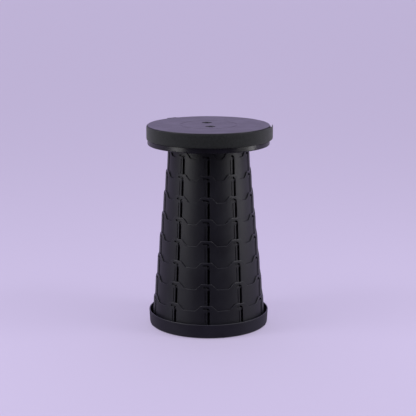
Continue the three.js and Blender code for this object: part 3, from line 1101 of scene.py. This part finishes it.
@dataclass
class BaseDish:
    """The shallow base: a floor, a rounded edge, an upright rim with catches inside, and rubber feet below."""

    palette: Palette
    rings: NestingRings
    circle_tree: RoundTree
    columns: int = 256
    foot_height: float = 1.0
    floor_top: float = 4.0
    rim_top: float = 30.0
    rim_radius: float = 124.6
    rim_wall: float = 2.4
    rim_taper: float = 1.4
    edge_radius: float = 4.0
    floor_fillet: float = 1.5
    catch_width: float = 9.0
    catch_thickness: float = 3.2
    catch_gap: float = 0.6
    catch_rooting: float = 1.0
    # How wide the eased ends of a catch are, and how far they are drawn in
    catch_easing: tuple[float, float] = (0.3, 0.02)
    contact_gap: float = 0.3
    foot_count: int = 6
    foot_radius: float = 10.0
    foot_recess: float = 1.0
    foot_inset: float = 15.0
    foot_rounding: float = 0.6
    # The ring grooves under a foot: their middle radii, half their width at the mouth and at the bed, their depth
    foot_grooves: tuple[float, float] = (3.65, 7.05)
    groove_halves: tuple[float, float] = (0.65, 0.35)
    groove_depth: float = 0.35
    first_foot: float = math.radians(-45)

    def foot_circle(self) -> float:
        """The radius of the circle that the feet stand on."""
        return self.rim_radius - self.rim_taper - self.foot_inset

    def shell(self) -> Shape:
        """Turns the dish.

        Returns:
            The dish, without catches and recesses.
        """
        inner, fillet, half_lip = self.rim_radius - self.rim_wall, self.floor_fillet, self.rim_wall / 2
        centre = (self.rim_radius - self.rim_taper - self.edge_radius, self.foot_height + self.edge_radius)
        rim_centre = (self.rim_radius - half_lip, self.rim_top - half_lip)
        bm = bmesh.new()
        lathe(bm, [
            (0.0, self.foot_height), *arc(centre, self.edge_radius, -math.pi / 2, 0.0, 8),
            *arc(rim_centre, half_lip, 0.0, math.pi, 10),
            *arc((inner - fillet, self.floor_top + fillet), fillet, 0.0, -math.pi / 2, 5), (0.0, self.floor_top),
        ], self.columns)
        return mesh_object("base", bm, self.palette.base)

    def catches(self) -> Shape:
        """The hooked catches on the rim's inner wall, over the outermost ring's lugs.

        Returns:
            The catches, as one object.
        """
        rings = self.rings
        foot = self.floor_top + self.contact_gap
        nose_foot = foot + rings.lug_top + self.contact_gap
        lug_face = rings.outer_foot_radius - (rings.lug_top - rings.lug_height / 2) * rings.draft
        post = lug_face + rings.lug_reach + self.catch_gap
        nose = rings.outer_foot_radius - (nose_foot - foot) * rings.draft + rings.clearance
        root, floor = self.rim_radius - self.rim_wall / 2, self.floor_top - self.catch_rooting
        top, sharp = nose_foot + self.catch_thickness, 0.1
        outline = eased([(post, floor, sharp), (root, floor, sharp), (root, top, sharp), (nose, top, 1.0),
                         (nose, nose_foot, 0.4), (post, nose_foot, sharp)], 3)
        half, (easing, shrink) = self.catch_width / 2, self.catch_easing
        bm = bmesh.new()
        for i in range(rings.slot_count):
            if abs(i - rings.slot_count / 2) < rings.blind_slots / 2:
                continue
            out, side = axes_at(FULL_TURN * i / rings.slot_count)
            prism(bm, outline, lambda r, z, level: out * r + side * level + Vector((0, 0, z)),
                  [(-half, -shrink), (-half + easing, 0.0), (half - easing, 0.0), (half, -shrink)])
        return mesh_object("catches", bm)

    def recesses(self) -> Shape:
        """The shallow recesses that hold the feet.

        Returns:
            Their cutters, as one object.
        """
        bm = bmesh.new()
        top = self.foot_height + self.foot_recess + self.contact_gap
        for centre in round_circle(self.foot_circle(), self.foot_count, self.first_foot):
            drum(bm, self.foot_radius + self.contact_gap, 0.0, top, 48, centre)
        return mesh_object("foot_recesses", bm)

    def feet(self) -> Shape:
        """Rubber pads with a rounded edge and two shallow ring grooves below.

        Returns:
            The pads, as one object.
        """
        bm = bmesh.new()
        top, radius, soft = self.foot_height + self.foot_recess, self.foot_radius, self.foot_rounding
        mouth, bed = self.groove_halves
        grooves = [(middle + step, depth) for middle in self.foot_grooves for step, depth in (
            (-mouth, 0.0), (-bed, self.groove_depth), (bed, self.groove_depth), (mouth, 0.0))]
        lathe(bm, [(0.0, 0.0), *grooves, *arc((radius - soft, soft), soft, -math.pi / 2, 0.0, 4),
                   (radius, top), (0.0, top)], 48)
        return self.circle_tree.run("rubber_feet", {
            "Piece": mesh_object("foot_pad", bm), "Count": self.foot_count, "Height": 0.0,
            "Circle Radius": self.foot_circle() * MM, "First Azimuth": self.first_foot,
            "Material": self.palette.rubber})

    def build(self) -> None:
        """Makes the dish and its feet."""
        dish = self.shell()
        combined(dish, self.catches(), Join.ADD)
        combined(dish, self.recesses(), Join.CUT)
        handed_over(smoothed(dish), Body.BASE.value, Slot.BASE, ["base_dish"])
        nodes = [f"foot_{i + 1}" for i in range(self.foot_count)]
        handed_over(smoothed(self.feet()), Body.BASE.value, Slot.RUBBER, nodes)


@dataclass
class Seat:
    """The moulded seat with its skirt, ribs and bosses, and the screws that hold the top ring to it."""

    palette: Palette
    rings: NestingRings
    circle_tree: RoundTree
    columns: int = 320
    radius: float = 125.0
    thickness: float = 3.0
    skirt_height: float = 39.8
    skirt_wall: float = 2.6
    channel_depth: float = 0.6
    channel_height: float = 27.8
    edge_radius: float = 1.2
    flange_radius: float = 2.0
    skirt_rounding: float = 0.3
    plate_fillet: float = 1.2
    groove_radius: float = 57.6
    groove_half: float = 0.7
    groove_depth: float = 0.45
    hole_places: tuple[Point, Point] = ((-3.6, 27.0), (3.6, -27.0))
    hole_radius: float = 6.2
    hole_rounding: float = 0.3
    hole_collar: float = 2.0
    dish_radius: float = 10.5
    dish_depth: float = 1.3
    rib_width: float = 2.0
    rib_height: float = 7.0
    boss_radius: float = 4.0
    boss_gap: float = 0.3
    cutter_lift: float = 0.4
    # Radius and height of the points of a screw's head and tip, from the head's lowest point up to the tip
    screw_head: tuple[Point, ...] = (
        (0.0, -2.2), (2.2, -2.1), (3.3, -1.5), (3.8, -0.6), (3.8, 0.0), (1.6, 0.0))
    screw_tip: tuple[Point, ...] = ((1.2, 10.4), (0.3, 11.0), (0.0, 11.0))
    thread_count: int = 9
    thread_pitch: float = 1.0
    # Radii of the thread's roots and crests
    thread_radii: tuple[float, float] = (1.3, 1.7)
    # Half the length and half the width of the recess's arms
    recess_arm: tuple[float, float] = (2.0, 0.45)

    def __post_init__(self) -> None:
        """Takes the seat's height from the frame."""
        self.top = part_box("seat_cap")[1][2] / MM
        self.underside = self.top - self.thickness

    def shell(self) -> Shape:
        """Turns the cap: plate, strap channel, flange and skirt.

        Returns:
            The cap, without fittings and holes.
        """
        top, radius, channel = self.top, self.radius, self.radius - self.channel_depth
        skirt_foot, inner = top - self.skirt_height, self.radius - self.skirt_wall
        channel_top = top - self.edge_radius - self.channel_depth
        channel_foot = top - self.edge_radius - self.channel_height
        groove, half, bed = self.groove_radius, self.groove_half, top - self.groove_depth
        edge, flange, rounding, fillet = self.edge_radius, self.flange_radius, self.skirt_rounding, self.plate_fillet
        profile = [
            (0.0, top), (groove - half, top), (groove - half / 2, bed), (groove + half / 2, bed),
            (groove + half, top), *arc((radius - edge, top - edge), edge, math.pi / 2, 0.0, 6),
            (channel, channel_top), (channel, channel_foot), (radius, channel_foot - self.channel_depth),
            *arc((radius - flange, skirt_foot + flange), flange, 0.0, -math.pi / 2, 6),
            *arc((inner + rounding, skirt_foot + rounding), rounding, -math.pi / 2, -math.pi, 2),
            *arc((inner - fillet, self.underside - fillet), fillet, 0.0, math.pi / 2, 4), (0.0, self.underside)]
        bm = bmesh.new()
        lathe(bm, profile, self.columns)
        return mesh_object("seat", bm, self.palette.seat)

    def fittings(self) -> Shape:
        """Ribs, hole collars and screw bosses under the plate.

        Returns:
            The fittings, as one object.
        """
        bm = bmesh.new()
        high, low, half = self.underside + self.thickness / 2, self.underside - self.rib_height, self.rib_width / 2
        circle, count = self.rings.screw_circle(), self.rings.screw_count
        for i in range(count // 2):
            out, side = axes_at(FULL_TURN * i / count)
            prism(bm, oblong((-half, low), (half, high), 0.4, 0.1, 2),
                  lambda x, z, level: side * x + out * level + Vector((0, 0, z)), [(-circle, 0.0), (circle, 0.0)])
        boss_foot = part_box("ring_1")[0][2] / MM + self.rings.collar_top + self.boss_gap
        for centre in round_circle(circle, count):
            drum(bm, self.boss_radius, boss_foot, high, 32, centre)
        for centre in self.hole_places:
            drum(bm, self.hole_radius + self.hole_collar, low, high, 48, centre)
        return mesh_object("seat_fittings", bm)

    def holes(self) -> Shape:
        """The two holes in their shallow dishes, whose walls are steep.

        Returns:
            Their cutters, as one object.
        """
        bm = bmesh.new()
        top, low, above = self.top, self.underside - self.rib_height - 1, self.top + self.cutter_lift
        bed, hole, dish, lip = top - self.dish_depth, self.hole_radius, self.dish_radius, self.hole_rounding
        for centre in self.hole_places:
            lathe(bm, [
                (0.0, low), (hole, low), *arc((hole + lip, bed - lip), lip, math.pi, math.pi * 0.6, 3),
                (dish - 1.0, bed), (dish - 0.5, top - self.dish_depth * 0.8), (dish - 0.1, top),
                (dish + 0.2, above), (0.0, above)], 64, centre)
        return mesh_object("seat_holes", bm)

    def screws(self) -> Shape:
        """Pan-head screws with a cross recess and a coarse thread.

        Returns:
            The screws, as one object.
        """
        bm = bmesh.new()
        pitch, (root, crest) = self.thread_pitch, self.thread_radii
        thread = [spot for i in range(1, self.thread_count + 1)
                  for spot in ((root, i * pitch), (crest, (i + 0.5) * pitch))]
        lathe(bm, [*self.screw_head, *thread, *self.screw_tip], 24)
        screw = mesh_object("screw", bm)
        cross = bmesh.new()
        for across, ahead in (self.recess_arm, self.recess_arm[::-1]):
            outline = [(-across, -ahead), (across, -ahead), (across, ahead), (-across, ahead)]
            prism(cross, outline, lambda x, y, level: Vector((x, y, level)), [(-3.0, 0.0), (-1.0, -0.1)])
        combined(screw, mesh_object("cross_recess", cross), Join.CUT)
        return self.circle_tree.run("collar_screws", {
            "Piece": screw, "Count": self.rings.screw_count, "First Azimuth": 0.0,
            "Circle Radius": self.rings.screw_circle() * MM,
            "Height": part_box("seat_screw_1")[1][2] - self.screw_tip[-1][1] * MM, "Material": self.palette.steel})

    def build(self) -> None:
        """Makes the seat and its screws."""
        seat = self.shell()
        combined(seat, self.fittings(), Join.ADD)
        combined(seat, self.holes(), Join.CUT)
        handed_over(smoothed(seat), Body.SEAT.value, Slot.SEAT, ["seat_cap"])
        nodes = [f"seat_screw_{i + 1}" for i in range(self.rings.screw_count)]
        handed_over(smoothed(self.screws()), Body.SEAT.value, Slot.SCREW, nodes)


@dataclass
class CarryStrap:
    """The webbing strap: a long turn round the skirt with a loose end at the right, a short turn to the slider."""

    palette: Palette
    MAP = "webbing"
    width: float = 27.0
    thickness: float = 1.5
    centre_x: float = 1.5
    inner_radius: float = 126.2
    thread: float = 1.5
    thread_depth: float = 0.12
    # The long turn's middle line and its rise, each at an azimuth in degrees
    turn_radii: tuple[Point, ...] = (
        (55, 124.7), (110, 124.75), (160, 126.4), (200, 126.95), (240, 126.95), (275, 127.7), (320, 127.2),
        (360, 126.95), (415, 126.75), (453, 129.0))
    turn_rises: tuple[Point, ...] = ((55, -1.8), (95, -1.6), (130, 0.0), (400, 0.0), (453, 0.9))
    second_rise: float = 0.9
    second_gap: float = 0.15
    second_start: float = math.radians(130)
    slider_azimuth: float = math.radians(218)
    slider_width: float = 24.0
    slider_bar: float = 4.0
    slider_rail: float = 1.5
    slider_thickness: float = 2.6
    slider_gap: float = 0.3
    slider_corner: float = 2.0
    slider_edge: float = 0.6
    # How far the strap lies off the slider's bars, how far it climbs to them, and how far it overhangs the middle one
    slider_clearance: float = 0.1
    climb_length: float = 7.5
    loop_overhang: float = 2.2
    taper_threads: float = 7.0
    crease: float = math.radians(60)

    def __post_init__(self) -> None:
        """Takes the strap's height from the frame."""
        self.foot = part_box("carry_strap")[0][2] / MM

    def woven(self, bm: BMesh, path: Outline, lift: Sequence[float], cut_end: bool = False) -> None:
        """Sweeps a woven band along an open path in plan.

        Args:
            bm: The mesh that gets the faces.
            path: The middle line of the band, one point for each crossing thread.
            lift: How far the band's lower edge stands above the strap's foot, at each point.
            cut_end: Whether the last end is cut at full thickness. The other ends thin out.
        """
        layer = bm.loops.layers.uv.get(self.MAP) or bm.loops.layers.uv.new(self.MAP)
        rows = round(self.width / self.thread)
        half, last = self.thickness / 2, len(path) - 1
        sections: list[list[bmesh.types.BMVert]] = []
        maps: list[list[Point]] = []
        run = 0.0
        for i in range(last + 1):
            here, before, after = (Vector(path[j]) for j in (i, max(i - 1, 0), min(i + 1, last)))
            ahead = (after - before).normalized()
            out = Vector((ahead.y, -ahead.x))
            run += (here - before).length
            section: list[tuple[float, float]] = []
            for row in range(rows + 1):
                crown = self.thread_depth * (1 if (row + i) % 2 else -1)
                selvedge = math.sin(math.pi * min(1.0, (min(row, rows - row) + 0.35) / 2.4) / 2)
                section.append((half * selvedge + crown, self.width * row / rows))
            section += [(-half * 0.6, self.width), (-half, self.width * 0.9), (-half, self.width * 0.5),
                        (-half, self.width * 0.1), (-half * 0.6, 0.0)]
            threads = i if cut_end else min(i, last - i)
            share = min(1.0, (threads + 1) / self.taper_threads)
            verts = []
            for depth, up in section:
                flat = here + out * (depth * share - half * (1 - share))
                verts.append(bm.verts.new((flat.x + self.centre_x, flat.y, self.foot + lift[i] + up)))
            sections.append(verts)
            maps.append([(run, up) for _, up in section])
        for i in range(last):
            for a in range(len(sections[0])):
                b = (a + 1) % len(sections[0])
                face = bm.faces.new((sections[i][a], sections[i + 1][a], sections[i + 1][b], sections[i][b]))
                spots = [maps[i][a], maps[i + 1][a], maps[i + 1][b], maps[i][b]]
                for loop, spot in zip(face.loops, spots):
                    loop[layer].uv = spot
        for section in (sections[0], sections[-1]):
            bmesh.ops.triangulate(bm, faces=[bm.faces.new(section)])

    def azimuths(self, start: float, end: float) -> list[float]:
        """Azimuths along the strap, one for each crossing thread.

        Args:
            start: The first azimuth.
            end: The last one.

        Returns:
            The azimuths, an odd number of them.
        """
        middle = self.inner_radius + self.thickness
        steps = 2 * round((end - start) * middle / self.thread / 2)
        return [start + (end - start) * i / steps for i in range(steps + 1)]

    def turn_radius(self, azimuth: float) -> float:
        """The long turn's radius at an azimuth. Past a full turn it lies over its own start."""
        return followed(self.turn_radii, math.degrees(azimuth))

    def strap(self) -> Shape:
        """Both turns of the strap, and the loop over the slider's middle bar.

        Returns:
            The strap.
        """
        bm = bmesh.new()
        turn = self.azimuths(math.radians(self.turn_radii[0][0]), math.radians(self.turn_radii[-1][0]))
        self.woven(bm, [plan_point(self.turn_radius(a), a) for a in turn],
                   [followed(self.turn_rises, math.degrees(a)) for a in turn], cut_end=True)
        outer = self.inner_radius + 1.5 * self.thickness + self.second_gap
        slider_out = self.slider_face() + self.slider_thickness + self.thickness / 2 + self.slider_clearance
        bar = (self.slider_width / 2 - self.slider_bar / 2) / outer

        def second_radius(azimuth: float) -> float:
            """Follows the long turn, then climbs over the slider's first bar and into its window.

            Args:
                azimuth: Where the strap is.

            Returns:
                The radius of its middle line.
            """
            past = azimuth - (self.slider_azimuth - bar)
            climb = max(0.0, 1 - abs(past) * outer / self.climb_length)
            over = self.turn_radius(azimuth) + self.thickness + self.second_gap
            return over + (slider_out - outer) * climb * climb * (3 - 2 * climb)

        second = self.azimuths(self.second_start, self.slider_azimuth - bar / 2)
        self.woven(bm, [plan_point(second_radius(a), a) for a in second], [self.second_rise] * len(second))
        loop_half = (self.slider_bar / 2 + self.loop_overhang) / outer

        def loop_radius(azimuth: float) -> float:
            """Rises from one window, over the middle bar and into the other."""
            share = abs(azimuth - self.slider_azimuth) / loop_half
            return outer + (slider_out - outer) * math.sqrt(max(0.0, 1 - share ** 3))

        loop = self.azimuths(self.slider_azimuth - loop_half, self.slider_azimuth + loop_half)
        self.woven(bm, [plan_point(loop_radius(a), a) for a in loop], [0.0] * len(loop))
        return mesh_object("webbing_strap", bm, self.palette.webbing)

    def slider_face(self) -> float:
        """The radius of the slider's inner face."""
        return self.inner_radius + self.thickness + self.slider_gap

    def slider(self) -> Shape:
        """A rounded plate with two windows, which leave three bars.

        Returns:
            The slider.
        """
        half, high = self.slider_width / 2, self.width / 2 + self.slider_rail
        out, side = axes_at(self.slider_azimuth)
        shift = Vector((self.centre_x, 0.0, self.foot + self.width / 2))

        def place(x: float, z: float, level: float) -> Vector:
            """A point of the slider's plate."""
            return shift + out * level + side * x + Vector((0, 0, z))

        near, far, soft = self.slider_face(), self.slider_face() + self.slider_thickness, self.slider_edge
        bm = bmesh.new()
        prism(bm, oblong((-half, -high), (half, high), self.slider_corner), place, [
            (near, -soft), (near + soft * 0.3, -soft * 0.3), (near + soft, 0.0), (far - soft, 0.0),
            (far - soft * 0.3, -soft * 0.3), (far, -soft)])
        made = mesh_object("slider", bm, self.palette.slider)
        windows = bmesh.new()
        window, high = (self.slider_width - 3 * self.slider_bar) / 2, self.width / 2
        for middle in (-(self.slider_bar + window) / 2, (self.slider_bar + window) / 2):
            outline = oblong((middle - window / 2, -high), (middle + window / 2, high), 0.8)
            prism(windows, outline, place, [(near - 1, 0.3), (near + 0.5, 0.0), (far - 0.5, 0.0), (far + 1, 0.7)])
        combined(made, mesh_object("slider_windows", windows), Join.CUT)
        return made

    def build(self) -> None:
        """Makes the strap and its slider."""
        handed_over(smoothed(self.strap(), self.crease), Body.SEAT.value, Slot.WEBBING, ["carry_strap"])
        handed_over(smoothed(self.slider()), Body.SEAT.value, Slot.SEAT, ["strap_slider"])


@dataclass(frozen=True)
class LilacPaper(Finish):
    """Matt lilac paper, lit evenly from below so that only a faint shadow shows.

    The stool mirrors pale paper beside and behind it, and a room that darkens towards the front.
    """

    lilac: str = "#cbc0de"
    paper: str = "#857e94"
    mirrored_paper: str = "#2c2932"
    glow: float = 0.56
    # How bright the paper beside and behind the stool looks in the stool's own gloss
    mirrored_glow: float = 0.58

    def surface(self, tree: Tree) -> dict:
        """An even glow for the eye, and one that falls off towards the front for what mirrors it.

        Args:
            tree: The material's tree.

        Returns:
            What the shader's inputs get.
        """
        place = add_node(tree, "ShaderNodeTexCoord").outputs["Object"]
        back = add_node(tree, "ShaderNodeSeparateXYZ", {0: place}).outputs["Y"]
        near = add_node(tree, "ShaderNodeMapRange", {"Value": back, "From Min": -0.8, "From Max": 0.2}).outputs[0]
        mirrored = worked_out(tree, {"near": near}, [
            ("falling", "POWER", "near", 2.0),
            ("mirrored", "MULTIPLY_ADD", "falling", self.mirrored_glow, 0.02)])["mirrored"]
        seen = add_node(tree, "ShaderNodeLightPath").outputs["Is Camera Ray"]
        glow = add_node(tree, "ShaderNodeMix", {0: seen, 2: mirrored, 3: self.glow}).outputs[0]
        tone = add_node(tree, "ShaderNodeMix", {
            0: seen, 6: linear(self.mirrored_paper), 7: linear(self.paper)}, data_type="RGBA").outputs[2]
        return {"Base Color": tone, "Roughness": 0.9, "Specular IOR Level": 0.1,
                "Emission Color": linear(self.lilac), "Emission Strength": glow}


@dataclass(frozen=True)
class Softbox:
    """A large area light that faces the stool.

    Its azimuth is in degrees from the front, its distance from the axis, height and size in metres, its power in
    watts.
    """

    name: str
    azimuth: float
    distance: float
    height: float
    size: Point
    power: float

    def build(self) -> None:
        """Stands the light in its place."""
        data = bpy.data.lights.new(self.name, "AREA")
        data.shape, data.size, data.size_y, data.energy = "RECTANGLE", *self.size, self.power
        light = bpy.data.objects.new(self.name, data)
        light.location = Vector((*plan_point(self.distance, math.radians(self.azimuth)), self.height))
        light.rotation_euler = (Vector((0, 0, 0.2)) - light.location).to_track_quat("-Z", "Y").to_euler()
        bpy.context.scene.collection.objects.link(light)


@dataclass
class Studio:
    """The camera, a pale floor and soft light from both sides."""

    lens: float = 104.08
    sensor: float = 36.0
    camera_place: tuple[float, float, float] = (-0.0012, -2.4326, 0.7723)
    camera_tilt: float = math.radians(77.744)
    floor_radius: float = 60.0
    behind: str = "#bdaedd"
    overhead_strength: float = 1.4
    overhead_spread: float = math.radians(100)
    softboxes: tuple[Softbox, ...] = (
        Softbox("left softbox", -66.0, 2.0, 0.8, (0.95, 1.4), 10.5),
        Softbox("right softbox", 64.0, 2.0, 0.8, (0.8, 1.4), 8.5),
        Softbox("left strip", -56.0, 1.3, 0.35, (0.5, 0.7), 1.7),
        Softbox("right strip", 84.0, 1.3, 0.4, (0.4, 0.8), 3.0),
        Softbox("high left softbox", -76.0, 1.5, 1.9, (0.5, 0.5), 10.0),
        Softbox("high right softbox", 76.0, 1.5, 1.9, (0.5, 0.5), 10.0),
    )

    def camera(self) -> None:
        """Stands the camera where the photograph was taken from."""
        data = bpy.data.cameras.new("camera")
        data.lens, data.sensor_width = self.lens, self.sensor
        camera = bpy.data.objects.new("camera", data)
        camera.location, camera.rotation_euler = self.camera_place, (self.camera_tilt, 0.0, 0.0)
        bpy.context.scene.collection.objects.link(camera)
        bpy.context.scene.camera = camera

    def floor(self) -> None:
        """A wide plain floor."""
        bm = bmesh.new()
        bmesh.ops.create_circle(bm, cap_ends=True, segments=96, radius=self.floor_radius / MM)
        floor = mesh_object("floor", bm, LilacPaper("matt lilac paper").material())
        if floor.data.polygons[0].normal.z < 0:
            floor.data.flip_normals()

    def overhead(self) -> None:
        """Very soft light from straight above, which lays a faint shadow round the base."""
        data = bpy.data.lights.new("overhead", "SUN")
        data.energy, data.angle = self.overhead_strength, self.overhead_spread
        bpy.context.scene.collection.objects.link(bpy.data.objects.new("overhead", data))

    def ambience(self) -> None:
        """Light from all round: pale behind and above, dark in front."""
        world = bpy.data.worlds.new("studio")
        world.use_nodes = True
        tree = world.node_tree
        tree.nodes.clear()
        way = add_node(tree, "ShaderNodeTexCoord").outputs["Generated"]
        axes = add_node(tree, "ShaderNodeSeparateXYZ", {0: way}).outputs
        back = add_node(tree, "ShaderNodeMapRange", {
            "Value": axes["Y"], "From Min": 0.1, "From Max": 1.0, "To Min": 0.05, "To Max": 1.6},
            interpolation_type="SMOOTHSTEP").outputs[0]
        above = add_node(tree, "ShaderNodeMapRange", {
            "Value": axes["Z"], "From Min": 0.3, "From Max": 1.0, "To Min": 0.0, "To Max": 0.5}).outputs[0]
        both = worked_out(tree, {"back": back, "above": above}, [("both", "MAXIMUM", "back", "above")])["both"]
        seen = add_node(tree, "ShaderNodeLightPath").outputs["Is Camera Ray"]
        strength = add_node(tree, "ShaderNodeMix", {0: seen, 2: both, 3: 1.0}).outputs[0]
        shader = add_node(tree, "ShaderNodeBackground", {"Color": linear(self.behind), "Strength": strength})
        add_node(tree, "ShaderNodeOutputWorld", {"Surface": shader.outputs[0]})
        bpy.context.scene.world = world

    def build(self) -> None:
        """Sets up the studio."""
        self.camera()
        self.floor()
        for softbox in self.softboxes:
            softbox.build()
        self.overhead()
        self.ambience()
        bpy.context.scene.view_settings.view_transform = "Standard"


def main() -> None:
    """Builds the studio and the stool."""
    logging.basicConfig(level=logging.INFO, format="%(name)s: %(message)s")
    Studio().build()
    palette = Palette.mixed()
    rings, circle_tree = NestingRings(palette), RoundTree()
    rings.build()
    BaseDish(palette, rings, circle_tree).build()
    Seat(palette, rings, circle_tree).build()
    CarryStrap(palette).build()


if __name__ == "__main__":
    main()
